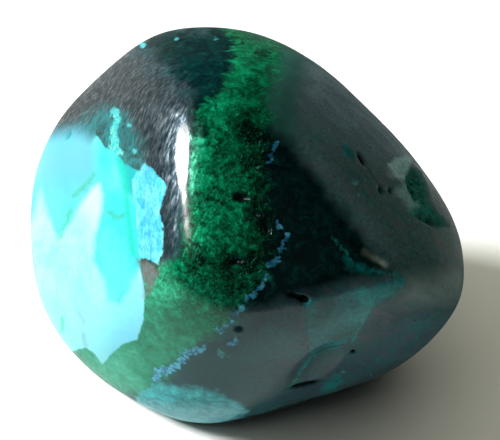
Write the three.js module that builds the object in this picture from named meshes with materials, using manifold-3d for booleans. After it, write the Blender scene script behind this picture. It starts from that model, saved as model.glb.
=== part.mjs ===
// A tumbled and polished stone: green dioptase and turquoise chrysocolla in a dark matrix.
// Millimetres, +Z up. The stone rests on a worn flat, its foot, at Z = 0, and the origin is
// below the middle of its box. It is one natural piece, so it is one mesh.
import * as THREE from "three";
import { mergeVertices } from "three/addons/utils/BufferGeometryUtils.js";
import Module from "manifold-3d";

// Flats that the tumbling wore on the stone. Each one faces a direction, given in degrees as
// an azimuth from +X towards +Y and an elevation above the horizontal, and it lies at a
// distance from the stone's heart, the point inside from which the whole form is measured.
const FLATS = [
  { name: "show face", azimuth: -90, elevation: 48, distance: 9.3 },
  { name: "turquoise face", azimuth: -149, elevation: 27, distance: 9.4 },
  { name: "matrix face", azimuth: -7, elevation: 52, distance: 9.95 },
  { name: "lower face", azimuth: -77, elevation: -6, distance: 10.6 },
  { name: "lower left face", azimuth: -116, elevation: 1, distance: 10.7 },
  { name: "upper left shoulder", azimuth: 173, elevation: 44, distance: 11.3 },
  { name: "crown", azimuth: 96, elevation: 74, distance: 11.35 },
  { name: "upper right slope", azimuth: 47, elevation: 38, distance: 11.3 },
  { name: "right shoulder", azimuth: 28, elevation: 26, distance: 11.45 },
  { name: "nose", azimuth: -3, elevation: 2, distance: 14.45 },
  { name: "nose underside", azimuth: -23, elevation: -26, distance: 14.5 },
  { name: "lower right slope", azimuth: -67, elevation: -43, distance: 13.15 },
  { name: "lower left slope", azimuth: -148, elevation: -30, distance: 15.15 },
  { name: "left end", azimuth: -179, elevation: -3, distance: 17.3 },
  { name: "back", azimuth: 90, elevation: 0, distance: 10.6 },
  { name: "back underside", azimuth: 90, elevation: -45, distance: 10.6 },
  { name: "back right underside", azimuth: 35, elevation: -31, distance: 12.0 },
  { name: "back left underside", azimuth: 142, elevation: -36, distance: 13.6 },
  { name: "foot rounding", azimuth: 0, elevation: -90, distance: 10.5 },
];
const EDGE_SHARPNESS = 12; // the higher it is, the tighter the edges between the flats
const FOOT_DEPTH = 10.2; // from the heart down to the foot
const UNEVENNESS = 0.0055; // how far the polish rises and dips, as a share of the radius

// Hollows that the polish didn't reach. Each one is centred on a direction from the heart,
// turned in the surface from level, anticlockwise as seen from outside.
const HOLLOWS = [
  { name: "chip", azimuth: -6.5, elevation: 21.2, turn: 177, length: 3.5, width: 1.75, depth: 0.45 },
  { name: "chip facet", azimuth: -3.4, elevation: 27.3, turn: 141, length: 3.4, width: 1.0, depth: 0.15 },
  { name: "chip groove", azimuth: -17.7, elevation: 17.1, turn: 109, length: 2.6, width: 0.75, depth: 0.32 },
  { name: "slit", azimuth: -15.5, elevation: 44.5, turn: 45, length: 1.1, width: 0.6, depth: 0.35 },
  { name: "pit by slit", azimuth: -23.2, elevation: 34.3, turn: 171, length: 0.8, width: 0.5, depth: 0.3 },
  { name: "pit by chip", azimuth: -19.1, elevation: 30.9, turn: 153, length: 0.8, width: 0.5, depth: 0.3 },
  { name: "crease", azimuth: -47.7, elevation: 26.2, turn: 126, length: 3.8, width: 0.8, depth: 0.16 },
  { name: "leaf scoop", azimuth: -66, elevation: -17.2, turn: 63, length: 5.0, width: 2.7, depth: 0.2 },
  { name: "leaf crack", azimuth: -68.7, elevation: -28, turn: 0, length: 2.3, width: 0.7, depth: 0.25 },
  { name: "pit by leaf", azimuth: -54.7, elevation: -12, turn: 108, length: 0.6, width: 0.4, depth: 0.22 },
  { name: "nick", azimuth: -73.9, elevation: 19, turn: 155, length: 1.3, width: 0.4, depth: 0.2 },
  { name: "nick end", azimuth: -71.7, elevation: 17.8, turn: 154, length: 0.7, width: 0.45, depth: 0.25 },
  { name: "pit in lower face", azimuth: -92.7, elevation: 8, turn: 0, length: 0.5, width: 0.45, depth: 0.2 },
  { name: "upper vug", azimuth: -93.2, elevation: 53, turn: 169, length: 0.95, width: 0.6, depth: 0.16 },
  { name: "side vug", azimuth: -86.4, elevation: 47.1, turn: 149, length: 0.7, width: 0.45, depth: 0.14 },
  { name: "middle vug", azimuth: -80.6, elevation: 41.8, turn: 99, length: 1.0, width: 0.5, depth: 0.16 },
  { name: "lower vug", azimuth: -94.1, elevation: 30.6, turn: 20, length: 0.7, width: 0.45, depth: 0.14 },
  { name: "back chip", azimuth: 118, elevation: 12, turn: 35, length: 3.0, width: 1.5, depth: 0.35 },
  { name: "back pit", azimuth: 74, elevation: 34, turn: 120, length: 1.0, width: 0.6, depth: 0.3 },
  { name: "back slit", azimuth: 96, elevation: -24, turn: 15, length: 1.8, width: 0.5, depth: 0.3 },
  { name: "right nick", azimuth: 36, elevation: 2, turn: 70, length: 1.6, width: 0.6, depth: 0.25 },
  { name: "left pit", azimuth: 158, elevation: 14, turn: 0, length: 0.7, width: 0.6, depth: 0.22 },
];

const STONE_DETAIL = 15; // cuts along each edge of the icosahedron that the stone grows from
const HOLLOW_DETAIL = 2; // the same, for each hollow

const STONE_FINISH = new THREE.MeshStandardMaterial({
  color: 0x1d4f4a,
  roughness: 0.22,
  metalness: 0,
});

const wasm = await Module();
wasm.setup();

// A unit vector from an azimuth and an elevation in degrees.
function toward(azimuth, elevation) {
  const turn = THREE.MathUtils.degToRad(azimuth);
  const lift = THREE.MathUtils.degToRad(elevation);
  return new THREE.Vector3(
    Math.cos(lift) * Math.cos(turn),
    Math.cos(lift) * Math.sin(turn),
    Math.sin(lift),
  );
}

// Each flat as its outward normal over its distance: a point p lies in its plane where
// p · (normal / distance) is 1.
const PLANES = FLATS.map(({ azimuth, elevation, distance }) =>
  toward(azimuth, elevation).divideScalar(distance),
);

// Slow swells all over the stone, between about -1 and 1.
function swell({ x, y, z }) {
  const broad = Math.sin(5.3 * x + 2.1 * y + 0.6) * Math.sin(4.1 * z - 1.7 * x + 1.1);
  const fine = Math.sin(7.9 * y + 3.1 * z + 2.0) * Math.sin(6.7 * x - 2.3 * z);
  return broad + 0.6 * fine;
}

// The distance from the heart to the surface along a unit vector. A high power of each
// plane's reach joins the flats with rounded edges, and the foot is cut straight through.
function reach(along) {
  const powers = PLANES.map((plane) => Math.max(0, along.dot(plane)) ** EDGE_SHARPNESS);
  const sum = powers.reduce((total, power) => total + power, 0);
  const worn = sum ** (-1 / EDGE_SHARPNESS) * (1 + UNEVENNESS * swell(along));
  return along.z < 0 ? Math.min(worn, FOOT_DEPTH / -along.z) : worn;
}

// The outward normal of the surface along a unit vector, without the swells.
function outwardAt(along) {
  const normal = new THREE.Vector3();
  for (const plane of PLANES) {
    const share = Math.max(0, along.dot(plane)) ** (EDGE_SHARPNESS - 1);
    normal.addScaledVector(plane, share);
  }
  return normal.normalize();
}

// A closed geometry as a solid that can be cut.
function solidFrom(geometry) {
  geometry.deleteAttribute("normal");
  geometry.deleteAttribute("uv");
  const closed = mergeVertices(geometry, 1e-5);
  return new wasm.Manifold(
    new wasm.Mesh({
      numProp: 3,
      vertProperties: closed.attributes.position.array,
      triVerts: new Uint32Array(closed.index.array),
    }),
  );
}

// The whole stone around its heart, before its hollows: a ball pushed out to its reach.
function wornStone() {
  const ball = new THREE.IcosahedronGeometry(1, STONE_DETAIL);
  const { position } = ball.attributes;
  const point = new THREE.Vector3();
  for (let i = 0; i < position.count; i++) {
    point.fromBufferAttribute(position, i).normalize();
    point.multiplyScalar(reach(point));
    position.setXYZ(i, point.x, point.y, point.z);
  }
  return solidFrom(ball);
}

// An ellipsoid that scoops one hollow. Its middle lies above the surface by the hollow's
// depth, half its own height, so the hollow's rim slopes into the polish.
function scoop({ azimuth, elevation, turn, length, width, depth }) {
  const along = toward(azimuth, elevation);
  const outward = outwardAt(along);
  const level = new THREE.Vector3(0, 0, 1).cross(outward).normalize();
  const lengthwise = level.applyAxisAngle(outward, THREE.MathUtils.degToRad(turn));
  const crosswise = outward.clone().cross(lengthwise);
  const spread = 2 / Math.sqrt(3); // the ellipsoid's width over the hollow's
  const middle = along.clone().multiplyScalar(reach(along)).addScaledVector(outward, depth);
  const placed = new THREE.Matrix4()
    .makeBasis(lengthwise, crosswise, outward)
    .scale(new THREE.Vector3((length / 2) * spread, (width / 2) * spread, 2 * depth))
    .setPosition(middle);
  return solidFrom(new THREE.IcosahedronGeometry(1, HOLLOW_DETAIL).applyMatrix4(placed));
}

function stoneMesh() {
  const cut = HOLLOWS.map(scoop).reduce((stone, tool) => stone.subtract(tool), wornStone());
  const { vertProperties, triVerts } = cut.getMesh();
  const geometry = new THREE.BufferGeometry()
    .setAttribute("position", new THREE.BufferAttribute(vertProperties, 3))
    .setIndex(new THREE.BufferAttribute(triVerts, 1));
  geometry.computeVertexNormals();
  const mesh = new THREE.Mesh(geometry, STONE_FINISH);
  mesh.name = "stone";
  return mesh;
}

// The heart sits above the foot, and the box's middle is brought over the origin.
const stone = stoneMesh();
stone.geometry.computeBoundingBox();
const middle = stone.geometry.boundingBox.getCenter(new THREE.Vector3());
stone.position.set(-middle.x, -middle.y, FOOT_DEPTH);

const specimen = new THREE.Group();
specimen.add(stone);

export default specimen;
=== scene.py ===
import math

import bpy
import numpy as np
from mathutils import Matrix, Vector, noise


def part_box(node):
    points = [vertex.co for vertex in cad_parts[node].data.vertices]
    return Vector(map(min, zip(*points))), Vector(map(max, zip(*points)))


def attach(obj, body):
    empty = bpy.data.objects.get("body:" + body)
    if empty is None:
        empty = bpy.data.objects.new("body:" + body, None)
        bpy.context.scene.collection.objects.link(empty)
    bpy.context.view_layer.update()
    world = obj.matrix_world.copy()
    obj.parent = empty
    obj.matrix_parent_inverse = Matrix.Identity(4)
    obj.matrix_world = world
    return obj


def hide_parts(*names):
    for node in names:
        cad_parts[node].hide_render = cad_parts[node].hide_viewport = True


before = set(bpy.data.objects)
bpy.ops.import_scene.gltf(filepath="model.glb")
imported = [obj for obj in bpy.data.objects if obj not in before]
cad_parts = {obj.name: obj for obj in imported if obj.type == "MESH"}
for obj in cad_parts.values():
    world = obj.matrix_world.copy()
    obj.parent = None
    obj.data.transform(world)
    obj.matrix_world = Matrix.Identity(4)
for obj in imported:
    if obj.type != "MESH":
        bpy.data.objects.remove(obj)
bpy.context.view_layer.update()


# ---- The stone's worn form ---------------------------------------------------------------
# One natural piece of rock, rolled in a tumbler until flats wore on it and the edges between
# them went round. Its form is measured from its heart, a point inside it: each flat faces a
# direction and lies at its own distance from there, and the foot is worn straight across.

MM = 0.001

FLATS = {  # azimuth from +X towards +Y and elevation in degrees, distance in millimetres
    "show face": (-90, 48, 9.3),
    "turquoise face": (-149, 27, 9.4),
    "matrix face": (-7, 52, 9.95),
    "lower face": (-77, -6, 10.6),
    "lower left face": (-116, 1, 10.7),
    "upper left shoulder": (173, 44, 11.3),
    "crown": (96, 74, 11.35),
    "upper right slope": (47, 38, 11.3),
    "right shoulder": (28, 26, 11.45),
    "nose": (-3, 2, 14.45),
    "nose underside": (-23, -26, 14.5),
    "lower right slope": (-67, -43, 13.15),
    "lower left slope": (-148, -30, 15.15),
    "left end": (-179, -3, 17.3),
    "back": (90, 0, 10.6),
    "back underside": (90, -45, 10.6),
    "back right underside": (35, -31, 12.0),
    "back left underside": (142, -36, 13.6),
    "foot rounding": (0, -90, 10.5),
}
EDGE_SHARPNESS = 12.0
FOOT_DEPTH = 10.2  # millimetres from the heart down to the foot
UNEVENNESS = 0.0055  # how far the polish rises and dips, as a share of the radius
GRID = 127  # squares along each edge of the cube that the stone grows from
FINER_IN_FRONT = 0.35  # how much closer the squares lie on the show side
SHOW_SIDE = (-90, 45)  # its azimuth and elevation
LEAST_DROP = 0.001  # how far a way from the heart falls, at least, to meet the foot


def toward(azimuth, elevation):
    """The unit vector that an azimuth and an elevation in degrees give."""
    turn, lift = math.radians(azimuth), math.radians(elevation)
    level = math.cos(lift)
    return np.array([level * math.cos(turn), level * math.sin(turn), math.sin(lift)])


class Term:
    """A socket of a node tree. An expression on terms adds the tree's maths nodes."""

    def __init__(self, tree, socket=None):
        self.tree = tree
        self.socket = socket

    def node(self, kind, settings=None, values=None, output=None):
        """Adds a node: its settings first, then the values or links of its sockets."""
        made = self.tree.nodes.new(kind)
        for name, setting in (settings or {}).items():
            if name == "stops":
                self.fill_ramp(made.color_ramp, setting)
            else:
                setattr(made, name, setting)
        for key, value in (values or {}).items():
            by_name = (s for s in made.inputs if s.enabled and s.name == key)
            socket = made.inputs[key] if isinstance(key, int) else next(by_name)
            if isinstance(value, Term):
                self.tree.links.new(value.socket, socket)
            else:
                socket.default_value = value
        shown = [s for s in made.outputs if s.enabled and output in (None, s.name)]
        return Term(self.tree, shown[0] if shown else None)

    @staticmethod
    def fill_ramp(ramp, stops):
        while len(ramp.elements) < len(stops):
            ramp.elements.new(0.5)
        for element, (place, colour) in zip(ramp.elements, stops):
            element.position = place
            element.color = (*colour, 1)

    def maths(self, operation, *others):
        values = dict(enumerate((self, *others)))
        return self.node("ShaderNodeMath", {"operation": operation}, values)

    def vector(self, operation, *others, output="Vector"):
        values = dict(enumerate((self, *others)))
        return self.node("ShaderNodeVectorMath", {"operation": operation}, values, output)

    def __add__(self, other):
        return self.maths("ADD", other)

    def __sub__(self, other):
        return self.maths("SUBTRACT", other)

    def __mul__(self, other):
        return self.maths("MULTIPLY", other)

    def __truediv__(self, other):
        return self.maths("DIVIDE", other)

    def __pow__(self, other):
        return self.maths("POWER", other)

    def __neg__(self):
        return self * -1

    def __rsub__(self, other):
        return -self + other

    def __rtruediv__(self, other):
        return self ** -1 * other

    __radd__ = __add__
    __rmul__ = __mul__

    def least(self, other):
        return self.maths("MINIMUM", other)

    def most(self, other):
        return self.maths("MAXIMUM", other)

    def sine(self):
        return self.maths("SINE")

    def dot(self, other):
        return self.vector("DOT_PRODUCT", tuple(other), output="Value")

    def times(self, share):
        """A vector made longer or shorter."""
        return self.node("ShaderNodeVectorMath", {"operation": "SCALE"}, {0: self, "Scale": share})

    def axes(self):
        return [self.node("ShaderNodeSeparateXYZ", None, {0: self}, axis) for axis in "XYZ"]

    def between(self, low, high, start=0.0, end=1.0):
        """Goes smoothly from start to end as the term goes from low to high."""
        span = {"From Min": low, "From Max": high, "To Min": start, "To Max": end}
        settings = {"interpolation_type": "SMOOTHSTEP"}
        return self.node("ShaderNodeMapRange", settings, {"Value": self, **span})

    def mix(self, without, within):
        """A colour: without where the term is 0, and within where it is 1."""
        settings = {"data_type": "RGBA", "clamp_factor": True}
        without, within = (c if isinstance(c, Term) else (*c, 1) for c in (without, within))
        return self.node("ShaderNodeMix", settings, {"Factor": self, "A": without, "B": within})


polish = bpy.data.materials.new("polished_stone")

form = bpy.data.node_groups.new("worn_form", "GeometryNodeTree")
form.interface.new_socket("Geometry", in_out="OUTPUT", socket_type="NodeSocketGeometry")
form_inputs = {
    "Grid Points": ("NodeSocketInt", GRID + 1),
    "Edge Sharpness": ("NodeSocketFloat", EDGE_SHARPNESS),
    "Foot Depth": ("NodeSocketFloat", FOOT_DEPTH),
    "Unevenness": ("NodeSocketFloat", UNEVENNESS),
    "Finer In Front": ("NodeSocketFloat", FINER_IN_FRONT),
    "Scale": ("NodeSocketFloat", MM),
}
for name, (kind, _) in form_inputs.items():
    form.interface.new_socket(name, in_out="INPUT", socket_type=kind)

tree = Term(form)
size = {name: tree.node("NodeGroupInput", None, None, name) for name in form_inputs}
points_each_way = {f"Vertices {axis}": size["Grid Points"] for axis in "XYZ"}
cube = tree.node("GeometryNodeMeshCube", None, {"Size": (2, 2, 2), **points_each_way})

# A tangent evens out the squares as the cube is blown up into a ball.
evened = tree.node("GeometryNodeInputPosition").times(math.pi / 4).vector("TANGENT")
show_side = tree.node("ShaderNodeCombineXYZ", None, dict(zip("XYZ", toward(*SHOW_SIDE))))
closer = show_side.times(size["Finer In Front"])
along = evened.vector("NORMALIZE").vector("ADD", closer).vector("NORMALIZE")

# A high power of each flat's reach joins the flats with rounded edges, slow swells make the
# polish rise and dip, and the foot is cut straight through.
planes = [toward(azimuth, elevation) / distance for azimuth, elevation, distance in FLATS.values()]
powers = sum(along.dot(plane).most(0) ** size["Edge Sharpness"] for plane in planes)
x, y, z = along.axes()
broad = (5.3 * x + 2.1 * y + 0.6).sine() * (4.1 * z - 1.7 * x + 1.1).sine()
fine = (7.9 * y + 3.1 * z + 2.0).sine() * (6.7 * x - 2.3 * z).sine()
worn = powers ** (-1 / size["Edge Sharpness"]) * (1 + size["Unevenness"] * (broad + 0.6 * fine))
grounded = worn.least(size["Foot Depth"] / (-z).most(LEAST_DROP))
surface = along.times(grounded * size["Scale"])
moved = tree.node("GeometryNodeSetPosition", None, {"Geometry": cube, "Position": surface})
smooth = tree.node("GeometryNodeSetShadeSmooth", None, {"Geometry": moved})
real = tree.node("GeometryNodeRealizeInstances", None, {"Geometry": smooth})
dressed = tree.node("GeometryNodeSetMaterial", None, {"Geometry": real, "Material": polish})
tree.node("NodeGroupOutput", None, {"Geometry": dressed})

stone = bpy.data.objects.new("tumbled_stone", bpy.data.meshes.new("seed"))
bpy.context.scene.collection.objects.link(stone)
grow = stone.modifiers.new("worn form", "NODES")
grow.node_group = form
for item in form.interface.items_tree:
    if item.in_out == "INPUT":
        grow[item.identifier] = form_inputs[item.name][1]
grown = stone.evaluated_get(bpy.context.evaluated_depsgraph_get())
stone.data = bpy.data.meshes.new_from_object(grown)
stone.modifiers.clear()


# ---- The hollows -------------------------------------------------------------------------
# Chips, cracks and vugs in the rock that the polish didn't reach. Each is scooped out of the
# surface to its own length, width and depth, with a floor as uneven as a fresh break.

HOLLOWS = {  # azimuth, elevation and turn in degrees, length, width and depth in mm, bareness
    "chip": (-6.5, 21.2, 177, 3.5, 1.75, 0.45, 0.8),
    "chip facet": (-3.4, 27.3, 141, 3.4, 1.0, 0.15, 0.0),
    "chip groove": (-17.7, 17.1, 109, 2.6, 0.75, 0.32, 0.9),
    "slit": (-15.5, 44.5, 45, 1.1, 0.6, 0.35, 1.0),
    "pit by slit": (-23.2, 34.3, 171, 0.8, 0.5, 0.3, 1.0),
    "pit by chip": (-19.1, 30.9, 153, 0.8, 0.5, 0.3, 1.0),
    "crease": (-47.7, 26.2, 126, 3.8, 0.8, 0.16, 0.3),
    "leaf scoop": (-66, -17.2, 63, 5.0, 2.7, 0.2, 0.0),
    "leaf crack": (-68.7, -28, 0, 2.3, 0.7, 0.25, 1.0),
    "pit by leaf": (-54.7, -12, 108, 0.6, 0.4, 0.22, 1.0),
    "nick": (-73.9, 19, 155, 1.3, 0.4, 0.2, 1.0),
    "nick end": (-71.7, 17.8, 154, 0.7, 0.45, 0.25, 1.0),
    "pit in lower face": (-92.7, 8, 0, 0.5, 0.45, 0.2, 0.45),
    "upper vug": (-93.2, 53, 169, 0.95, 0.6, 0.16, 1.0),
    "side vug": (-86.4, 47.1, 149, 0.7, 0.45, 0.14, 1.0),
    "middle vug": (-80.6, 41.8, 99, 1.0, 0.5, 0.16, 1.0),
    "lower vug": (-94.1, 30.6, 20, 0.7, 0.45, 0.14, 1.0),
    "back chip": (118, 12, 35, 3.0, 1.5, 0.35, 1.0),
    "back pit": (74, 34, 120, 1.0, 0.6, 0.3, 1.0),
    "back slit": (96, -24, 15, 1.8, 0.5, 0.3, 1.0),
    "right nick": (36, 2, 70, 1.6, 0.6, 0.25, 1.0),
    "left pit": (158, 14, 0, 0.7, 0.6, 0.22, 1.0),
}
RIM_SPREAD = 2 / math.sqrt(3)  # the scooping ellipsoid's width over the hollow's
FELT_OUT_TO = 1.2  # the square of how far out a scoop is felt, with its own edge at 1
FELT_DOWN_TO = 3  # how far down it is felt, as a multiple of the hollow's depth
RIM_ROUNDING = 0.05  # how softly a hollow's rim runs into the polish, in millimetres
RAGGEDNESS = 0.5  # how far its outline strays, as a share of its size
BREAK_ROUGHNESS = 0.35  # how uneven a bare hollow's floor is, as a share of its depth
BREAK_GRAIN = 2.2  # bumps of the floor in a millimetre
RELIEF = 0.0015  # how far the harder fibres stand proud of the polish, in millimetres
RELIEF_GRAIN = 3.2  # fibres side by side in a millimetre
FIBRES = (53, 39)  # the azimuth and elevation that the fibres run along
FIBRE_LENGTH = 4  # as a multiple of their width


def read_vectors(collection, name):
    """The places or ways of a mesh's corners, one in each row."""
    values = np.zeros(len(collection) * 3, np.float32)
    collection.foreach_get(name, values)
    return values.reshape(-1, 3).astype(float)


def drawn_out(points):
    """Points squeezed along the fibres, so that noise read there is drawn out into fibres."""
    fibre = toward(*FIBRES)
    return points - (points @ fibre)[:, None] * fibre * (1 - 1 / FIBRE_LENGTH)


def store(name, values):
    """Keeps a number for every corner of the stone's mesh, for the material to read."""
    layer = stone.data.attributes.new(name, "FLOAT", "POINT")
    layer.data.foreach_set("value", values.astype(np.float32))


places = read_vectors(stone.data.vertices, "co") / MM  # millimetres from the heart
outwards = read_vectors(stone.data.vertex_normals, "vector")
directions = places / np.linalg.norm(places, axis=1, keepdims=True)
relief = [noise.noise(Vector(place)) for place in drawn_out(places) * RELIEF_GRAIN]
places += outwards * (RELIEF * np.array(relief))[:, None]
hollowed = np.zeros(len(places))
for azimuth, elevation, turn, length, width, depth, bare in HOLLOWS.values():
    nearest = np.argmax(directions @ toward(azimuth, elevation))
    middle, outward = places[nearest], outwards[nearest]
    level = np.cross((0, 0, 1), outward)
    level /= np.linalg.norm(level)
    turned = math.radians(turn)
    lengthwise = level * math.cos(turned) + np.cross(outward, level) * math.sin(turned)
    crosswise = np.cross(outward, lengthwise)
    from_middle = places - middle
    height = from_middle @ outward
    share = (from_middle @ lengthwise / (length / 2 * RIM_SPREAD)) ** 2
    share += (from_middle @ crosswise / (width / 2 * RIM_SPREAD)) ** 2
    within = (share < FELT_OUT_TO) & (height > -FELT_DOWN_TO * depth) & (height < depth)
    touched = np.flatnonzero(within)
    lumps = np.array([noise.noise(Vector(places[i] * BREAK_GRAIN)) for i in touched])
    strayed = share[touched] * (1 + RAGGEDNESS * bare * lumps)
    uneven = 1 + BREAK_ROUGHNESS * bare * np.roll(lumps, 1)
    bottom = depth - 2 * depth * uneven * np.sqrt(np.maximum(0, 1 - strayed))
    dip = RIM_ROUNDING * np.logaddexp(0, (height[touched] - bottom) / RIM_ROUNDING)
    places[touched] -= outward * dip[:, None]
    hollowed[touched] += dip / depth * bare
store("hollow", np.minimum(hollowed, 1))

# The stone goes where the solid stands: foot on the floor, and its box's middle over the origin.
own_middle = (places.min(axis=0) + places.max(axis=0)) / 2
cad_low, cad_high = (np.array(corner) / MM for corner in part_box("stone"))
heart = (cad_low + cad_high) / 2 - own_middle
heart[2] = cad_low[2] + FOOT_DEPTH
stone.data.vertices.foreach_set("co", ((places + heart) * MM).astype(np.float32).ravel())
stone.data.update()


# ---- The minerals ------------------------------------------------------------------------
# Where the minerals lie: chrysocolla at the left end, dioptase in a green band across the
# middle, and a dark matrix that a thin blue vein crosses. Each patch is drawn in millimetres
# on a plane through the heart, as an eye above the show face sees it.

EYE_ELEVATION = 45  # degrees above level, in front of the stone
EYE_DISTANCE = 77  # millimetres from where it aims
AIM_BESIDE_HEART = 0.2  # millimetres to the right

PATCHES = {  # each outline in millimetres right of the aim and up the plane
    "turquoise": [
        (-14.5, 6.3), (-12.9, 6.0), (-11.4, 6.3), (-10.6, 6.0), (-9.9, 5.4), (-9.4, 4.7),
        (-8.7, 4.4), (-8.2, 3.7), (-7.3, 3.2), (-6.8, 2.0), (-6.8, -2.0), (-7.2, -2.7),
        (-6.85, -4.6), (-6.95, -6.5), (-7.35, -7.8), (-8.3, -8.1), (-8.9, -8.6), (-9.6, -9.4),
        (-10.1, -8.8), (-10.7, -8.3), (-11.4, -8.5), (-13.0, -9.2), (-15.0, -9.0),
    ],
    "milk": [
        (-15.0, -1.3), (-14.2, -0.1), (-13.8, 1.6), (-13.6, 2.0), (-13.2, 0.3), (-12.7, -0.9),
        (-12.5, -1.2), (-11.9, -0.4), (-11.1, 1.0), (-10.3, 2.0), (-9.8, 2.4), (-9.6, 1.7),
        (-9.7, 0.5), (-10.1, -1.0), (-10.2, -2.6), (-9.8, -3.4), (-9.4, -4.0), (-9.3, -5.3),
        (-8.5, -5.5), (-7.8, -4.4), (-7.2, -3.1), (-5.9, -4.6), (-6.5, -8.5), (-9.8, -10.4),
        (-15.0, -7.8),
    ],
    "deep": [
        (-8.8, 4.6), (-8.0, 4.2), (-7.2, 3.4), (-7.2, 2.4), (-7.7, 1.6), (-8.2, 1.9),
        (-8.4, 3.0),
    ],
    "azure": [
        (-6.9, 3.7), (-6.3, 3.3), (-6.0, 2.8), (-5.5, 2.5), (-5.5, 1.9), (-5.7, 1.3),
        (-5.9, 0.5), (-5.7, -0.3), (-5.7, -1.2), (-5.7, -2.1), (-6.0, -2.9), (-6.5, -2.6),
        (-7.2, -2.4), (-7.3, -1.8), (-7.2, -1.3), (-7.4, -0.5), (-7.4, 0.5), (-7.6, 1.6),
        (-7.7, 2.6), (-7.2, 3.3),
    ],
    "tongue": [
        (-9.2, 4.3), (-9.1, 5.4), (-9.0, 6.2), (-8.8, 6.6), (-9.1, 6.9), (-8.9, 7.3),
        (-8.6, 7.1), (-8.4, 6.5), (-8.7, 6.0), (-8.6, 5.2), (-8.3, 4.3),
    ],
    "halo": [
        (-11.3, 6.0), (-10.6, 6.8), (-9.7, 7.3), (-8.9, 7.4), (-8.1, 6.9), (-7.7, 5.8),
        (-7.0, 4.9), (-6.9, 3.4), (-8.2, 3.0), (-10.0, 4.6),
    ],
    "ochre": [
        (-7.3, -2.6), (-6.2, -2.9), (-6.0, -3.6), (-6.4, -4.3), (-6.8, -4.9), (-6.9, -3.9),
    ],
    "ink": [
        (-7.2, 13.0), (-0.5, 12.6), (-0.2, 11.0), (-0.9, 9.4), (-1.4, 8.2), (-2.4, 7.0),
        (-3.0, 6.0), (-3.8, 5.6), (-3.9, 7.1), (-4.2, 8.1), (-4.7, 8.8), (-5.5, 9.5),
        (-6.5, 10.3), (-7.5, 11.3),
    ],
    "dioptase": [
        (-1.8, 12.9), (-1.4, 11.6), (-1.2, 10.7), (-1.6, 10.2), (-1.7, 9.6), (-2.0, 8.6),
        (-2.9, 8.0), (-3.4, 7.5), (-3.5, 7.0), (-3.4, 6.3), (-3.2, 5.6), (-4.1, 5.2),
        (-4.3, 3.9), (-4.4, 1.3), (-4.6, -1.3), (-4.9, -2.2), (-5.6, -2.4), (-6.6, -2.0),
        (-8.5, -5.0), (-14.0, -6.0), (-14.0, -10.0), (-9.0, -11.4), (-7.2, -11.8),
        (-5.9, -11.4), (-5.0, -9.8), (-3.9, -8.7), (-3.0, -8.2), (-1.8, -7.3), (-0.5, -5.7),
        (1.0, -3.9), (1.8, -2.0), (1.5, 0.3), (1.2, 2.0), (1.4, 4.7), (1.6, 7.8),
        (2.4, 10.8), (2.4, 12.0),
    ],
    "crust": [
        (-13.5, 12.0), (-7.3, 13.5), (-7.3, 11.1), (-6.3, 10.1), (-5.3, 9.3), (-4.5, 8.6),
        (-4.0, 7.9), (-3.7, 6.9), (-3.9, 5.2), (-4.05, 3.9), (-4.2, 1.3), (-4.6, -1.3),
        (-4.9, -2.5), (-5.7, -2.8), (-8.0, -3.5), (-10.5, 0.0), (-14.5, 7.0),
    ],
    "jet": [
        (-4.7, 7.8), (0.5, 7.6), (2.7, 5.1), (6.4, 0.6), (9.2, -3.2), (5.4, -4.6),
        (-0.5, -6.2), (-4.2, -4.2),
    ],
    "facet": [(9.0, 3.6), (9.4, 4.0), (10.6, 4.3), (10.4, 3.4), (10.0, 2.5), (9.5, 2.9)],
    "lobe": [(9.3, 1.9), (10.1, 2.3), (10.7, 1.7), (11.1, 1.0), (10.6, 0.6), (10.1, 1.1)],
    "gash": [
        (10.5, 3.5), (11.0, 3.1), (11.5, 2.2), (11.6, 1.2), (12.3, 0.3), (12.9, -0.3),
        (12.0, -0.4), (11.2, 0.1), (10.4, 0.5), (10.9, 1.2), (10.7, 2.0), (10.1, 2.5),
    ],
    "verdigris lower": [
        (3.5, -5.6), (3.8, -5.1), (6.0, -4.8), (10.0, -3.7), (10.1, -4.2), (9.3, -4.9),
        (8.2, -5.5), (7.7, -5.7), (7.4, -6.8), (6.8, -7.6), (5.9, -8.2), (4.0, -8.8),
        (3.6, -7.0),
    ],
    "verdigris foot": [
        (-7.4, -11.5), (-6.1, -10.6), (-4.6, -10.9), (-3.8, -10.9), (-2.0, -11.2),
        (-1.4, -11.7), (-0.3, -12.2), (-0.1, -12.6), (-1.0, -12.9), (-2.6, -13.6),
        (-5.0, -13.6), (-7.4, -12.6),
    ],
    "verdigris leaf": [(4.8, -10.6), (5.6, -10.0), (6.1, -10.4), (5.3, -11.4), (4.6, -11.2)],
    "verdigris shoulder": [(5.9, 5.1), (6.6, 4.6), (7.0, 4.1), (6.7, 3.8), (6.1, 4.3)],
    "corner": [
        (6.2, -2.4), (7.0, -2.9), (8.2, -3.3), (9.2, -3.4), (8.2, -3.6), (6.8, -3.6),
        (6.2, -3.2),
    ],
}
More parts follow.
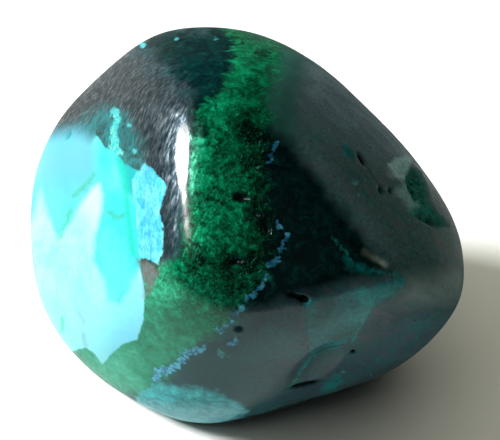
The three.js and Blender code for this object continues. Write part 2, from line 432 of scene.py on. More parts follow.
# Some brighter lobes beside and above the highlight paint its glow.
LUSHNESS_AND_GLOW = [  # place and radius as above, and how much brighter or darker the rock is there
    (-1.1, 9.8, 0.9, 0.9), (-2.4, 7.4, 0.9, 0.8), (-1.6, 7.9, 0.8, 0.3), (-3.2, 4.7, 0.8, 1.2),
    (-3.4, 2.7, 0.9, 0.8), (-0.8, 0.7, 0.6, 0.6), (-3.1, -0.6, 0.9, 0.3), (-3.6, -2.5, 0.8, -1.2),
    (-1.6, 3.3, 1.0, 0.1), (0.2, 6.2, 1.0, -0.9), (0.7, 5.0, 1.2, -1.4), (1.0, 2.7, 1.2, -1.4),
    (0.9, 0.6, 1.0, -1.5), (1.1, -0.8, 0.9, -1.4), (0.1, -2.6, 0.7, -1.3), (-1.4, -2.6, 0.6, -1.2),
    (-1.9, -0.9, 0.8, -0.2), (1.2, -2.3, 0.9, -1.1), (-2.3, 9.2, 0.8, -1.3), (-3.0, 6.8, 0.5, -0.5),
    (-0.7, 1.6, 0.5, -1.0), (-0.6, -4.2, 1.2, -0.9), (-1.9, 1.0, 0.7, -0.6), (-1.0, 4.1, 0.6, -0.5),
    (-2.0, -3.6, 0.9, -0.6), (-4.9, -6.9, 1.0, -0.6), (-5.8, -4.6, 1.2, 1.6), (-5.6, -2.8, 0.5, 1.4),
    (-7.8, -10.8, 1.1, 1.5), (-5.9, 7.0, 1.1, 1.3), (-8.8, -9.6, 1.5, 1.2),
]
VEINS = {  # each path along the middle, in millimetres as above
    "vein": [
        [(1.7, 5.0), (1.5, 4.4), (1.3, 3.7)],
        [(1.4, 0.9), (1.9, -0.4), (2.4, -1.0), (2.1, -1.7), (1.9, -2.4), (1.3, -2.9)],
        [(1.1, -3.7), (0.7, -4.3), (0.1, -4.9), (-0.3, -5.4), (-0.6, -5.8)],
        [(-1.0, -6.1), (-1.3, -6.7), (-2.0, -7.2)],
        [(-0.9, -7.8), (-1.2, -8.1)],
        [(-3.1, -8.4), (-3.9, -8.6), (-4.7, -9.4), (-5.4, -9.9), (-5.9, -9.8), (-6.1, -10.3)],
    ],
    "moss": [
        [(-10.2, 3.0), (-10.6, 2.4), (-11.0, 2.0), (-11.5, 1.6)],
        [(-11.7, 0.6), (-12.0, -0.1), (-12.4, -1.2)],
        [(-9.2, 0.5), (-8.6, 0.15), (-8.1, 0.4)],
        [(-12.2, -6.3), (-12.3, -7.2)],
    ],
    "rim": [
        [(-8.5, 3.9), (-8.1, 2.3), (-7.95, 0.5), (-7.8, -1.0), (-7.6, -2.2)],
    ],
    "lilac": [
        [(-11.3, -5.8), (-10.8, -6.7)],
        [(-10.9, -7.4), (-10.7, -8.2)],
        [(-6.9, -3.2), (-6.9, -5.0)],
    ],
    "thread": [
        [(5.4, -1.2), (6.2, -2.0), (6.7, -2.8), (7.4, -3.2)],
        [(7.9, -3.3), (9.6, -3.6)],
        [(2.7, -10.9), (3.4, -9.7), (4.2, -8.7)],
        [(7.9, -5.6), (7.4, -6.6), (6.7, -7.9)],
        [(10.3, 0.6), (10.9, 0.6)],
        [(-2.1, -8.4), (-1.5, -8.9)],
    ],
    "crack": [
        [(7.6, 3.5), (8.4, 2.3)],
        [(3.9, -8.9), (4.8, -8.4), (6.1, -8.1)],
        [(6.2, -8.2), (6.2, -9.8)],
        [(7.2, -2.5), (9.2, -3.3)],
        [(3.6, -5.7), (3.8, -8.7)],
    ],
    "buff": [
        [(7.4, -2.1), (8.8, -2.9)],
    ],
}
SPECKS = [  # place and radius, as above
    (-7.9, 6.2, 0.13), (-7.5, 4.5, 0.16), (-9.0, 7.1, 0.14), (-7.0, 11.4, 0.2), (-4.8, 11.8, 0.12),
    (-2.2, 11.8, 0.12), (-8.7, 7.1, 0.2), (-9.3, 0.4, 0.12), (6.9, 2.4, 0.15), (7.1, 1.7, 0.1),
    (-0.7, -5.6, 0.14), (6.9, 6.2, 0.08), (-2.0, -8.7, 0.15), (-1.8, -8.9, 0.1),
    (7.9, -10.1, 0.1), (6.1, -9.9, 0.14), (8.3, -9.1, 0.1),
]

# Past the stone's limb, where no eye above can see, the outlines swirl and run on.
LIMB = 0.1  # how squarely the surface faces the eye where that begins
SWIRL_WAVES = (0.42, 0.27)  # radians in a millimetre
SWIRL_START = (0.8, 2.1)
SWIRL_SIZE = 4.5
SWIRL_SHIFT = (2.0, -2.5)


def seen_from_above(points):
    """Where points appear on the plane through the heart, and the way back to the eye."""
    back = toward(-90, EYE_ELEVATION)
    upward = toward(90, 90 - EYE_ELEVATION)
    from_aim = points - (AIM_BESIDE_HEART, 0, 0)
    nearness = EYE_DISTANCE / (EYE_DISTANCE - from_aim @ back)
    return np.stack([from_aim[:, 0] * nearness, from_aim @ upward * nearness], axis=1), back


def distance_to_path(points, path):
    """How far each point lies from the nearest place along a path."""
    nearest = np.full(len(points), np.inf)
    for start, end in zip(path, path[1:]):
        start, step = np.array(start), np.subtract(end, start)
        share = np.clip((points - start) @ step / (step @ step), 0, 1)
        away = np.linalg.norm(points - start - share[:, None] * step, axis=1)
        nearest = np.minimum(nearest, away)
    return nearest


def depth_inside(points, outline):
    """The distance from an outline: above 0 inside it and below 0 outside."""
    closed = outline + outline[:1]
    inside = np.zeros(len(points), bool)
    x, y = points.T
    for (x0, y0), (x1, y1) in zip(closed, closed[1:]):
        crossing = (y0 > y) != (y1 > y)
        if y0 != y1:
            inside ^= crossing & (x < x0 + (y - y0) * (x1 - x0) / (y1 - y0))
    return np.where(inside, 1, -1) * distance_to_path(points, closed)


seen, to_eye = seen_from_above(places)
turned_away = np.clip(LIMB - outwards @ to_eye, 0, 1)[:, None]
first_wave, second_wave = SWIRL_WAVES
waves = places[:, [1, 2]] * first_wave + places[:, [2, 0]] * second_wave
swirl = np.sin(waves + SWIRL_START)
seen = seen + turned_away * (swirl * SWIRL_SIZE + SWIRL_SHIFT)
depths = {name: depth_inside(seen, outline) for name, outline in PATCHES.items()}

# The patches of verdigris are kept as one, and so are the paths of each vein.
verdigris = [depths.pop(name) for name in PATCHES if name.startswith("verdigris")]
depths["verdigris"] = np.max(verdigris, axis=0)
for name, paths in VEINS.items():
    depths[name] = -np.min([distance_to_path(seen, path) for path in paths], axis=0)
away_from_specks = [r - np.linalg.norm(seen - (x, y), axis=1) for x, y, r in SPECKS]
depths["speck"] = np.max(away_from_specks, axis=0)
away_from_lobes = [(np.linalg.norm(seen - (x, y), axis=1) / r, a) for x, y, r, a in LUSHNESS_AND_GLOW]
depths["lushness"] = sum(amount * np.exp(-away**2) for away, amount in away_from_lobes)
depths["far side"] = turned_away[:, 0]
for name, depth in depths.items():
    store(name, depth)


# ---- The grain of the rock ---------------------------------------------------------------
# Each mineral is a mass of small grains, crumbs or fibres, with an edge that is never clean.
# Noise of several sizes, read at the place on the stone, stands for them here, and the
# depths stored above say where each mineral lies.

polish.use_nodes = True
polish.node_tree.nodes.clear()
rock = Term(polish.node_tree)
spot = rock.node("ShaderNodeTexCoord", None, None, "Object").times(1 / MM)  # in millimetres
rightward = spot.dot((1, 0, 0))
backward = spot.dot((0, 1, 0))
off_the_floor = spot.dot((0, 0, 1))
up_the_face = spot.dot(toward(90, 45))
up_and_right = spot.dot(toward(40, 45))
ASKEW = (0.0, 1.0, 0.3)  # a way that no fibres lie along, to turn their noise by


def grain(scale, detail=3, coarseness=0.55, twist=0.0, at=spot):
    """Noise between 0 and 1, with scale as its lumps in a millimetre."""
    values = {
        "Vector": at,
        "Scale": scale,
        "Detail": detail,
        "Roughness": coarseness,
        "Distortion": twist,
    }
    return rock.node("ShaderNodeTexNoise", None, values)


def field(name):
    """What was stored on the stone under that name."""
    return rock.node("ShaderNodeAttribute", {"attribute_name": name}, None, "Fac")


def patch(name, ragged, lumps, soft):
    """1 inside a mineral's outline, with an edge as ragged and as soft as that many mm."""
    edge = field(name) + (grain(lumps, 4, 0.6) - 0.5) * (ragged * 2)
    return edge.between(-soft, soft)


def stroke(name, thickness, ragged, lumps, soft=0.08):
    """1 along the paths of a vein that is about that many mm thick."""
    edge = field(name) + thickness / 2 + (grain(lumps, 4, 0.7) - 0.5) * (ragged * 2)
    return edge.between(-soft, soft)


def stretched(azimuth, elevation, length):
    """The place on the stone, drawn out so that grain becomes fibres along one way."""
    fibre = toward(azimuth, elevation)
    aside = np.cross(fibre, ASKEW)
    aside /= np.linalg.norm(aside)
    third = np.cross(fibre, aside)
    parts = {0: spot.dot(fibre) / length, 1: spot.dot(aside), 2: spot.dot(third)}
    return rock.node("ShaderNodeCombineXYZ", None, parts)


def coloured(tone, *stops):
    """A colour that runs through the stops, each a tone from 0 to 1 and its colour."""
    return rock.node("ShaderNodeValToRGB", {"stops": stops}, {"Fac": tone}, "Color")


clouds = grain(0.32, 3, 0.5, 0.4)
mottle = grain(1.3, 5, 0.65, 0.8)
crumbs = grain(3.4, 5, 0.75, 0.5)
dust = grain(9, 3, 0.7)
hairs = grain(5.5, 3, 0.55, 0.2, at=stretched(60, 42, 3.2))
shreds = grain(4.5, 3, 0.7, 0.6, at=stretched(*FIBRES, 2))
brushed = grain(1.5, 4, 0.6, 0.3, at=stretched(-23, -37, 3))
clouded = clouds * 0.5 + crumbs * 0.5
mottled = mottle * 0.5 + crumbs * 0.5
gritty = mottle * 0.6 + crumbs * 0.4

# The parts of the stone where a look changes, each 1 there and 0 away from it.
lower_left = spot.dot(toward(-120, -20)).between(3.0, 8.5)
elsewhere = 1 - lower_left
# The lowest rim at the lower left, where a pale haze of reflected light is painted.
low_rim_haze = up_the_face.between(-4.0, -5.2) * lower_left
far_up = up_the_face.between(12.5, 16.5)
near_side = field("far side").between(0.3, 0.12)
in_front = backward.between(2.2, 1.0) * near_side


# ---- The dark matrix ---------------------------------------------------------------------
# The fine-grained rock that the copper minerals grew in. It is slate grey with faint streaks
# along one way, dusty up the right, and black above the crust and in the middle, where it is
# painted blacker as the dark reflection of the viewer's side. A pale haze of reflected light
# is painted on the right shoulder and on the underside of the nose.

LEAD_DUST = (0.028, 0.028, 0.034)
PALE_SHREDS = (0.03, 0.085, 0.085)
DARK_PORES = (0.004, 0.010, 0.012)
SEA_SLATE = (0.006, 0.060, 0.064)
GREY_STREAKS = (0.042, 0.058, 0.070)
GREEN_STREAKS = (0.012, 0.075, 0.068)
SHOULDER_HAZE_GREY = (0.075, 0.110, 0.145)
SHOULDER_HAZE_BLOOM = (0.115, 0.175, 0.210)
TIP_HAZE_GREY = (0.085, 0.130, 0.125)
TEAL_VEIL = (0.010, 0.058, 0.046)

slate = coloured(
    clouded,
    (0.38, (0.018, 0.045, 0.057)),
    (0.52, (0.024, 0.065, 0.080)),
    (0.66, (0.018, 0.098, 0.102)),
)
slate = (dust.between(0.50, 0.66) * 0.5).mix(slate, LEAD_DUST)
slate = (shreds.between(0.56, 0.72) * 0.35).mix(slate, PALE_SHREDS)
slate = (grain(3.2, 2, 0.5).between(0.68, 0.74) * 0.7).mix(slate, DARK_PORES)
slate = (lower_left * 0.8).mix(slate, SEA_SLATE)

far_right = spot.dot(toward(10, 52)).between(13.0, 16.5)
dusty = coloured(
    crumbs * 0.5 + dust * 0.5,
    (0.38, (0.022, 0.036, 0.042)),
    (0.50, (0.032, 0.064, 0.066)),
    (0.62, (0.036, 0.100, 0.090)),
)
slate = far_right.mix(slate, dusty)
right_half = rightward.between(2.0, 5.0)
slate = (brushed.between(0.50, 0.62) * right_half * 0.7).mix(slate, GREY_STREAKS)
slate = (brushed.between(0.48, 0.36) * right_half * 0.6).mix(slate, GREEN_STREAKS)
# A pale, purplish haze of reflected light, painted along the upper right shoulder.
shoulder = up_and_right.between(14.4, 17.6) * brushed.between(0.62, 0.42, 0.55, 1.0)
shoulder_haze_colour = dust.between(0.4, 0.6).mix(SHOULDER_HAZE_GREY, SHOULDER_HAZE_BLOOM)
slate = shoulder.mix(slate, shoulder_haze_colour)

# A pale haze of reflected light, painted on the underside of the nose.
tip_haze = up_the_face.between(4.7, 3.6) * up_the_face.between(1.6, 3.0)
tip_haze = tip_haze * rightward.between(8.6, 10.6) * backward.between(-3.5, -7.0)
tip_haze = tip_haze * brushed.between(0.35, 0.6, 0.6, 1.0)
slate = tip_haze.mix(slate, TIP_HAZE_GREY)
teal_veil = field("dioptase").between(-2.4, -0.6) * up_and_right.between(12.0, 14.5)
slate = (teal_veil * 0.85).mix(slate, TEAL_VEIL)

# The black middle of the show face, painted blacker still as the dark reflection of the viewer's
# side.
jet = patch("jet", 0.6, 0.7, 0.8)
black_and_dark_reflection_colour = coloured(
    gritty,
    (0.42, (0.0004, 0.0028, 0.0028)),
    (0.55, (0.0006, 0.0065, 0.0065)),
    (0.70, (0.001, 0.022, 0.020)),
)
surface_colour = jet.mix(slate, black_and_dark_reflection_colour)
ink = patch("ink", 1.8, 0.8, 0.9)
ink_colour = coloured(
    gritty,
    (0.40, (0.0008, 0.007, 0.008)),
    (0.52, (0.0012, 0.015, 0.015)),
    (0.66, (0.0020, 0.034, 0.030)),
)
surface_colour = ink.mix(surface_colour, ink_colour)


# ---- The dioptase ------------------------------------------------------------------------
# A deep green copper mineral, in a band down the middle of the show face. It is a mass of
# fine grains, with bright lobes, dark pockets and pale threads. Some pale grains and lobes and
# a pale edge beside the crust paint the highlight's glints and glow, and a pale haze of
# reflected light is painted over its lower left.

PALE_THREADS = (0.04, 0.30, 0.21)
BRIGHT_DUST_AND_GLINTS = (0.10, 0.45, 0.33)
PAINTED_GLOW_GREEN = (0.05, 0.24, 0.16)

lush = field("lushness") * 0.22 + (mottle - 0.5) * (1.1 + far_up * 0.1) + 0.47
lush = lush + (crumbs - 0.5) * (1.4 - far_up * 1.2)
green = coloured(
    lush,
    (0.12, (0.0002, 0.003, 0.002)),
    (0.36, (0.0003, 0.028, 0.011)),
    (0.55, (0.0006, 0.085, 0.034)),
    (0.75, (0.002, 0.17, 0.075)),
    (0.98, (0.012, 0.34, 0.19)),
)
# A paler green, painted over the lower left as the haze of the white floor reflected there.
green_under_painted_haze = coloured(
    field("lushness") * 0.12 + clouds * 0.35 + mottle * 0.45 + crumbs * 0.2,
    (0.20, (0.006, 0.065, 0.036)),
    (0.53, (0.018, 0.25, 0.155)),
    (0.90, (0.09, 0.47, 0.34)),
)
green = (lower_left * 0.9).mix(green, green_under_painted_haze)
green = (shreds.between(0.60, 0.72) * elsewhere * 0.35).mix(green, PALE_THREADS)
# Pale grains in the green, which also paint the small glints of the druse.
green = (dust.between(0.62, 0.72) * elsewhere * 0.35).mix(green, BRIGHT_DUST_AND_GLINTS)

green_edge = field("dioptase") + (clouds - 0.5) * 1.2
green_edge = green_edge + (mottle - 0.5) * (2.4 - lower_left * 1.4)
inside_green = green_edge.between(ink * 0.2 - 0.4, 0.9 - ink * 0.5)
surface_colour = inside_green.mix(surface_colour, green)
# A paler green beside the crust, up the show face, painted as the glow of the highlight.
glow_beside_crust = field("crust").between(-1.0, -0.2) * elsewhere
glow_beside_crust = glow_beside_crust * up_the_face.between(7.5, 9.5) * up_the_face.between(13.2, 12.2)
pale_crumbs = crumbs.between(0.35, 0.65, 0.1, 0.8)
surface_colour = (glow_beside_crust * pale_crumbs).mix(surface_colour, PAINTED_GLOW_GREEN)


# ---- The crust ---------------------------------------------------------------------------
# A black crust between the dioptase and the chrysocolla, full of silvery hairs that lie one
# way, whose pale tones partly paint the window's sheen around the highlight. It is darker at
# its lower end, and blue-green where it meets the chrysocolla.

LOW_CRUST_DARK = (0.004, 0.012, 0.015)
DARK_HALO = (0.006, 0.075, 0.08)
LIGHT_HALO = (0.012, 0.135, 0.145)

crust_edge = field("crust") + (grain(1.2, 4, 0.6) - 0.5) * (1 + far_up * 3)
crust = crust_edge.between(far_up * -0.8 - 0.4, far_up * 0.8 + 0.4)
# The hairs' pale tones partly paint the window's sheen around the highlight, and the lobes read here
# paint its glow above it.
crust_and_sheen_colour = coloured(
    hairs * 0.7 + mottle * 0.3 + field("lushness") * 0.06,
    (0.38, (0.004, 0.009, 0.011)),
    (0.50, (0.018, 0.028, 0.034)),
    (0.60, (0.046, 0.062, 0.070)),
    (0.72, (0.12, 0.14, 0.15)),
)
# The crust is darker towards its lower end.
low_crust_darkening = up_the_face.between(9.5, 6.5)
crust_and_sheen_colour = (low_crust_darkening * 0.6).mix(crust_and_sheen_colour, LOW_CRUST_DARK)
surface_colour = crust.mix(surface_colour, crust_and_sheen_colour)
halo = patch("halo", 0.5, 1.4, 0.7) * mottle.between(0.32, 0.55, 0.45, 0.95)
halo_colour = mottle.between(0.4, 0.6).mix(DARK_HALO, LIGHT_HALO)
surface_colour = halo.mix(surface_colour, halo_colour)


# ---- The copper films and the blue vein --------------------------------------------------
# Copper that seeped into the matrix: blue-green films in its cracks and on its lower faces,
# paler where the nose was knocked and partly a painted highlight there, and a thin blue vein
# that winds down beside the dioptase. A pale haze of reflected light is painted along the
# lowest rim, and a reflection in the crease at the right as a pale streak.

LOW_RIM_HAZE = (0.17, 0.42, 0.47)
DARK_CORNER = (0.001, 0.02, 0.018)
GREEN_CORNER = (0.001, 0.055, 0.05)
GASH_GREEN = (0.014, 0.085, 0.070)
KNOCKED_PALE_AND_HIGHLIGHT = (0.16, 0.30, 0.30)
FILM_GREEN = (0.006, 0.17, 0.16)
CRACK_BLACK = (0.001, 0.010, 0.010)
DIM_CREASE_REFLECTION = (0.034, 0.044, 0.032)
BRIGHT_CREASE_REFLECTION = (0.110, 0.140, 0.120)
CREASE_REFLECTION_GRAINS = (0.03, 0.04, 0.034)
CLEAR_BLUE = (0.085, 0.42, 0.60)

copper = coloured(
    clouded,
    (0.38, (0.006, 0.055, 0.060)),
    (0.50, (0.008, 0.110, 0.115)),
    (0.64, (0.012, 0.21, 0.20)),
)
bright_copper = coloured(
    mottled,
    (0.38, (0.006, 0.20, 0.22)),
    (0.62, (0.05, 0.44, 0.48)),
)
copper = lower_left.mix(copper, bright_copper)
# A pale haze of reflected light, painted over the copper along the lowest rim.
copper = (low_rim_haze * 0.75).mix(copper, LOW_RIM_HAZE)
verdigris_cover = mottle.between(0.3, 0.6, 0.6, 1.0).most(low_rim_haze * 0.85)
verdigris = patch("verdigris", 0.4, 1.6, 0.22) * verdigris_cover
surface_colour = verdigris.mix(surface_colour, copper)

corner = patch("corner", 0.5, 1.6, 0.25) * near_side
corner_colour = mottle.between(0.4, 0.6).mix(DARK_CORNER, GREEN_CORNER)
surface_colour = corner.mix(surface_colour, corner_colour)
gash = patch("gash", 0.3, 2.2, 0.2) * in_front
surface_colour = (gash * 0.8).mix(surface_colour, GASH_GREEN)
# Pale facets where the nose was knocked, partly a painted highlight.
knocked_and_highlight = patch("facet", 0.25, 2.0, 0.16).most(patch("lobe", 0.4, 2.0, 0.3) * 0.6)
knocked_and_highlight = knocked_and_highlight * in_front * crumbs.between(0.35, 0.6, 0.5, 1.0)
surface_colour = knocked_and_highlight.mix(surface_colour, KNOCKED_PALE_AND_HIGHLIGHT)

film = stroke("thread", 0.12, 0.35, 3.4) * (0.85 - jet * 0.55) * near_side
surface_colour = film.mix(surface_colour, FILM_GREEN)
crack = stroke("crack", 0.06, 0.12, 3.4, 0.06) * near_side
surface_colour = (crack * 0.7).mix(surface_colour, CRACK_BLACK)
# A pale streak along the crease at the right is a painted reflection, brighter to its lower right.
buff = stroke("buff", 0.34, 0.2, 2.0, 0.2) * near_side
crease_reflection_colour = rightward.between(7.5, 8.6).mix(DIM_CREASE_REFLECTION, BRIGHT_CREASE_REFLECTION)
crease_reflection_colour = (crumbs.between(0.40, 0.62) * 0.4).mix(crease_reflection_colour, CREASE_REFLECTION_GRAINS)
surface_colour = buff.mix(surface_colour, crease_reflection_colour)

vein_thickness = up_the_face.between(9, 2, 0.06, 0.28) + lower_left * 0.18
vein = stroke("vein", vein_thickness, 0.75, 1.7) * near_side
vein_colour = coloured(
    mottled,
    (0.38, (0.003, 0.03, 0.05)),
    (0.50, (0.009, 0.075, 0.130)),
    (0.63, (0.055, 0.22, 0.28)),
)
clear_blue = lower_left * crumbs.between(0.42, 0.58, 0.3, 1.0)
vein_colour = clear_blue.mix(vein_colour, CLEAR_BLUE)
surface_colour = vein.mix(surface_colour, vein_colour)


# ---- The chrysocolla ---------------------------------------------------------------------
# A smooth blue-green copper mineral that makes the left end: turquoise, then milky below,
# with mossy threads, a grainy azure lobe at its right edge and an earthy spot under that.

GREEN_SEA = (0.020, 0.37, 0.40)
PALE_SEA = (0.064, 0.42, 0.42)
DUSK_BLUE = (0.085, 0.28, 0.36)
TOP_CREAM = (0.32, 0.52, 0.51)
LIT_LOW_CREAM = (0.17, 0.56, 0.60)
BLUE_CREAM = (0.125, 0.46, 0.61)
LIGHT_MOSS = (0.02, 0.30, 0.14)
DARK_MOSS = (0.04, 0.22, 0.09)
LILAC_GREY = (0.14, 0.27, 0.36)
DEEP_TEAL = (0.004, 0.27, 0.28)
RIM_GREEN = (0.001, 0.37, 0.29)
WHITE_CRUMBS = (0.28, 0.52, 0.52)
BROWN_EARTH = (0.090, 0.080, 0.075)
GREEN_EARTH = (0.070, 0.125, 0.120)
SPECK_BLUE = (0.05, 0.32, 0.34)

fading_top = up_the_face.between(10.5, 12.3) * rightward.between(-8.9, -9.6)
turquoise_edge = field("turquoise") + (grain(2.0, 4, 0.6) - 0.5) * 0.24 - fading_top * 0.35
turquoise = turquoise_edge.between(fading_top * -0.75 - 0.07, fading_top * 0.75 + 0.07)
sea = clouds.between(0.3, 0.7).mix(GREEN_SEA, PALE_SEA)
dusk = up_the_face.between(6.5, 11.5) * rightward.between(-8.4, -9.6)
sea = (dusk * 0.85).mix(sea, DUSK_BLUE)

milk = patch("milk", 0.2, 0.8, 0.28)
cream = coloured(
    clouds * 0.6 + mottle * 0.4,
    (0.36, (0.12, 0.45, 0.46)),
    (0.64, (0.26, 0.50, 0.50)),
)
cream = off_the_floor.between(10.5, 13.5).mix(cream, TOP_CREAM)
# The milk is painted lighter at the lower left, where less light falls on it.
cream = (lower_left * 0.8).mix(cream, LIT_LOW_CREAM)
bluer = rightward.between(-9.2, -7.4) * mottle.between(0.32, 0.55, 0.4, 0.9)
cream = bluer.mix(cream, BLUE_CREAM)
sea = milk.mix(sea, cream)

moss = stroke("moss", 0.22, 0.4, 1.8, 0.14) * near_side
moss_colour = mottle.between(0.45, 0.6).mix(LIGHT_MOSS, DARK_MOSS)
sea = (moss * 0.6).mix(sea, moss_colour)
lilac = stroke("lilac", 0.3, 0.25, 2.4, 0.2) * near_side
sea = (lilac * 0.7).mix(sea, LILAC_GREY)
deep = patch("deep", 0.2, 1.2, 0.35) * near_side
sea = deep.mix(sea, DEEP_TEAL)
rim = stroke("rim", 0.26, 0.14, 2.0, 0.3) * near_side
sea = rim.mix(sea, RIM_GREEN)
surface_colour = turquoise.mix(surface_colour, sea)

tongue_colour = coloured(
    crumbs,
    (0.40, (0.012, 0.32, 0.38)),
    (0.52, (0.05, 0.42, 0.38)),
    (0.64, (0.22, 0.50, 0.40)),
)
surface_colour = patch("tongue", 0.4, 3.2, 0.1).mix(surface_colour, tongue_colour)
azure_colour = coloured(
    grain(2.2, 6, 0.8, 0.3, at=stretched(90, 45, 1.5)),
    (0.36, (0.016, 0.24, 0.43)),
    (0.48, (0.045, 0.36, 0.47)),
    (0.62, (0.14, 0.49, 0.50)),
)
white_crumbs = rightward.between(-6.3, -7.1) * crumbs.between(0.32, 0.50)
azure_colour = (white_crumbs * 0.8).mix(azure_colour, WHITE_CRUMBS)
surface_colour = patch("azure", 0.22, 2.6, 0.06).mix(surface_colour, azure_colour)
earth_colour = crumbs.between(0.4, 0.6).mix(BROWN_EARTH, GREEN_EARTH)
surface_colour = patch("ochre", 0.4, 2.0, 0.25).mix(surface_colour, earth_colour)
speck = (field("speck") + (crumbs - 0.5) * 0.7).between(-0.06, 0.08) * near_side
speck_cover = rightward.between(0.0, -7.0, 0.35, 1.0)
surface_colour = (speck * speck_cover).mix(surface_colour, SPECK_BLUE)


# ---- The polish --------------------------------------------------------------------------
# The shine that the last and finest grit left on every mineral, like a coat of water. Hairs
# and green grains glint under it, and the hollows stay dull, their break colour painted darker
# as the shade inside them. It is deepest on the show face and the left end, and weaker up the
# shoulders and under the nose.

PIT_SHADE_BLACK = (0.002, 0.006, 0.006)
TURQUOISE_BREAK = (0.03, 0.28, 0.30)
HAIR_HEIGHT = 0.08  # millimetres
HAIR_RELIEF = 0.4  # the share of that height that shows
COAT_ROUGHNESS = 0.09
COAT_IOR = 1.45

hollow = field("hollow").most(gash * brushed.between(0.3, 0.6, 0.3, 0.6))
# A bare hollow shows the dull colour of its break, painted darker as the shade inside it: mottled
# dark green at the nose, and near-black in the vugs and pits elsewhere.
break_and_shade_colour = coloured(
    mottle * 0.4 + crumbs * 0.6,
    (0.40, (0.002, 0.012, 0.010)),
    (0.62, (0.018, 0.17, 0.14)),
)
break_and_shade_colour = rightward.between(7.0, 10.0).mix(PIT_SHADE_BLACK, break_and_shade_colour)
break_and_shade_colour = turquoise.mix(break_and_shade_colour, TURQUOISE_BREAK)
surface_colour = hollow.between(0.2, 0.75).mix(surface_colour, break_and_shade_colour)

raised = hairs * crust.most(0.5 - lower_left * 0.5)
relief_of_hairs = {"Strength": HAIR_RELIEF, "Distance": HAIR_HEIGHT * MM, "Height": raised}
bump = rock.node("ShaderNodeBump", None, relief_of_hairs)
glints = hairs.between(0.50, 0.68) * crust.most(inside_green * 0.5) * turquoise.between(0.5, 0.0)
glints = glints * ink.between(0.8, 0.0, 0.15, 1.0)
sheen = crust.most(inside_green * 0.15).most(glow_beside_crust * 0.6)
dullness = glints.between(0.02, 0.3, 0.9, 0.38).least(1 - crust.most(inside_green) * 0.55)
shine = spot.dot(toward(25, 35)).between(8.0, 13.0, 0.5, 0.14)
shine = shine * up_the_face.between(10.0, 13.0, 1.0, 0.3)
shine = shine * spot.dot(toward(-15, -45)).between(1.0, 4.5, 1.0, 0.4)
shader = rock.node(
    "ShaderNodeBsdfPrincipled",
    None,
    {
        "Base Color": surface_colour,
        "Metallic": (glints * 0.4 + sheen * 0.35) * (1 - turquoise),
        "Roughness": dullness,
        "Specular IOR Level": 0.0,
        "Coat Weight": hollow.between(0.002, 0.03, 1.0, 0.04) * shine * (1 - crust * 0.2),
        "Coat Roughness": COAT_ROUGHNESS,
        "Coat IOR": COAT_IOR,
        "Normal": bump,
    },
)
rock.node("ShaderNodeOutputMaterial", None, {"Surface": shader})

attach(stone, "root")
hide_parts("stone")


# ---- The floor ---------------------------------------------------------------------------
# A wide sheet of plain white paper, smooth and matt, that the stone rests on. It reaches far
# past the edges of the view.

FLOOR_RADIUS = 3.0  # metres
FLOOR_CORNERS = 64
PAPER_WHITE = (0.77, 0.77, 0.75)
PAPER_ROUGHNESS = 0.9
PAPER_SHINE = 0.1

paper = bpy.data.materials.new("white_paper")
paper.use_nodes = True
sheet = paper.node_tree.nodes["Principled BSDF"]
sheet.inputs["Base Color"].default_value = (*PAPER_WHITE, 1)
sheet.inputs["Roughness"].default_value = PAPER_ROUGHNESS
sheet.inputs["Specular IOR Level"].default_value = PAPER_SHINE
floor_mesh = bpy.data.meshes.new("floor")
angles = [math.tau * corner / FLOOR_CORNERS for corner in range(FLOOR_CORNERS)]
corners = [(FLOOR_RADIUS * math.cos(a), FLOOR_RADIUS * math.sin(a), 0) for a in angles]
floor_mesh.from_pydata(corners, [], [range(FLOOR_CORNERS)])
floor_mesh.materials.append(paper)
floor = bpy.data.objects.new("floor", floor_mesh)
bpy.context.scene.collection.objects.link(floor)


# ---- The light ---------------------------------------------------------------------------
# A soft key from the left and a little behind, a long oval window whose light only shows in
# the polish, and a pale room that is darker on the viewer's side.

KEY_PLACE = (166.3, 33)  # azimuth and elevation in degrees, seen from the stone
KEY_STRENGTH = 8.0  # watts on each square metre
KEY_SIZE = 19  # degrees across
WINDOW_FOOT = (-135.4, 38.3)
WINDOW_HEAD = (-165.5, 49.6)
WINDOW_DISTANCE = 0.6  # metres from the stone
WINDOW_WIDTH = 0.225  # metres
WINDOW_STRENGTH = 110.0
WALL_HEIGHT = 0.22  # how far up the mirrored wall glows, as the sine of an elevation
WALL_GLOW = 1.2
MIRRORED_CEILING = 0.02
SKY_BACK = (112, 38)  # where the light of the room is strongest
SKY_GLOW = (0.016, 1.05)  # on the viewer's side, and there
ROOM_TINT = (1.0, 1.0, 0.82)


def aimed_from(direction):
    """The rotation that points a lamp or a camera from that direction back at the stone."""
    return Vector(direction).to_track_quat("Z", "Y").to_euler()


key_light = bpy.data.lights.new("key", "SUN")
key_light.energy = KEY_STRENGTH
key_light.angle = math.radians(KEY_SIZE)
key = bpy.data.objects.new("key", key_light)
key.rotation_euler = aimed_from(toward(*KEY_PLACE))
key.visible_glossy = False
bpy.context.scene.collection.objects.link(key)

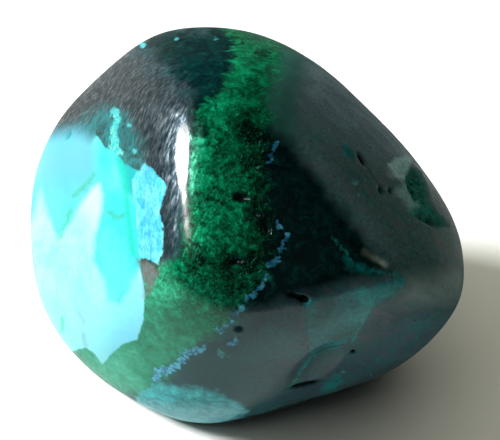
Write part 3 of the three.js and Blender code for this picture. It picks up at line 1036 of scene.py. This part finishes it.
window_foot = Vector(toward(*WINDOW_FOOT)) * WINDOW_DISTANCE
window_head = Vector(toward(*WINDOW_HEAD)) * WINDOW_DISTANCE
window_light = bpy.data.lights.new("window", "AREA")
window_light.shape = "ELLIPSE"
window_light.size = WINDOW_WIDTH
window_light.size_y = (window_head - window_foot).length
window_light.energy = WINDOW_STRENGTH * math.pi * window_light.size * window_light.size_y
window = bpy.data.objects.new("window", window_light)
window_middle = (window_foot + window_head) / 2
away = window_middle.normalized()
sideways = (window_head - window_foot).cross(away).normalized()
window_axes = Matrix((sideways, away.cross(sideways), away)).transposed()
window.rotation_euler = window_axes.to_euler()
window.location = Vector(heart * MM) + window_middle
window.visible_diffuse = False
window.visible_camera = False
bpy.context.scene.collection.objects.link(window)

room = bpy.data.worlds.new("room")
bpy.context.scene.world = room
room.use_nodes = True
room.node_tree.nodes.clear()
air = Term(room.node_tree)
way = air.node("ShaderNodeTexCoord", None, None, "Generated")
low_wall = way.dot((0, 0, 1)).between(WALL_HEIGHT, 0.0, 0.0, WALL_GLOW)
brighter_left = way.dot(toward(170, 0)).between(-0.2, 0.8, 0.35, 1.0)
mirrored = low_wall * brighter_left + MIRRORED_CEILING
ambient = way.dot(toward(*SKY_BACK)).between(0.1, 1.0, *SKY_GLOW)
seen_by_polish = air.node("ShaderNodeLightPath", None, None, "Is Glossy Ray")
seen_by_eye = air.node("ShaderNodeLightPath", None, None, "Is Camera Ray")
others = 1 - seen_by_polish - seen_by_eye
strength = seen_by_eye + seen_by_polish * mirrored + others * ambient
tint = seen_by_eye.mix(ROOM_TINT, (1.0, 1.0, 1.0))
glow = air.node("ShaderNodeBackground", None, {"Color": tint, "Strength": strength})
air.node("ShaderNodeOutputWorld", None, {"Surface": glow})
bpy.context.scene.view_settings.view_transform = "Standard"


# ---- The camera --------------------------------------------------------------------------
# It looks down at the show face from the front, from about a hand's width away, where the
# minerals' outlines are drawn from.

LENS = 85  # millimetres
SENSOR_WIDTH = 36
NEAREST_SEEN = 0.005  # metres

camera_data = bpy.data.cameras.new("camera")
camera_data.lens = LENS
camera_data.sensor_width = SENSOR_WIDTH
camera_data.clip_start = NEAREST_SEEN
camera = bpy.data.objects.new("camera", camera_data)
aim = Vector((heart + (AIM_BESIDE_HEART, 0, 0)) * MM)
camera.location = aim + Vector(to_eye) * EYE_DISTANCE * MM
camera.rotation_euler = aimed_from(to_eye)
bpy.context.scene.collection.objects.link(camera)
bpy.context.scene.camera = camera
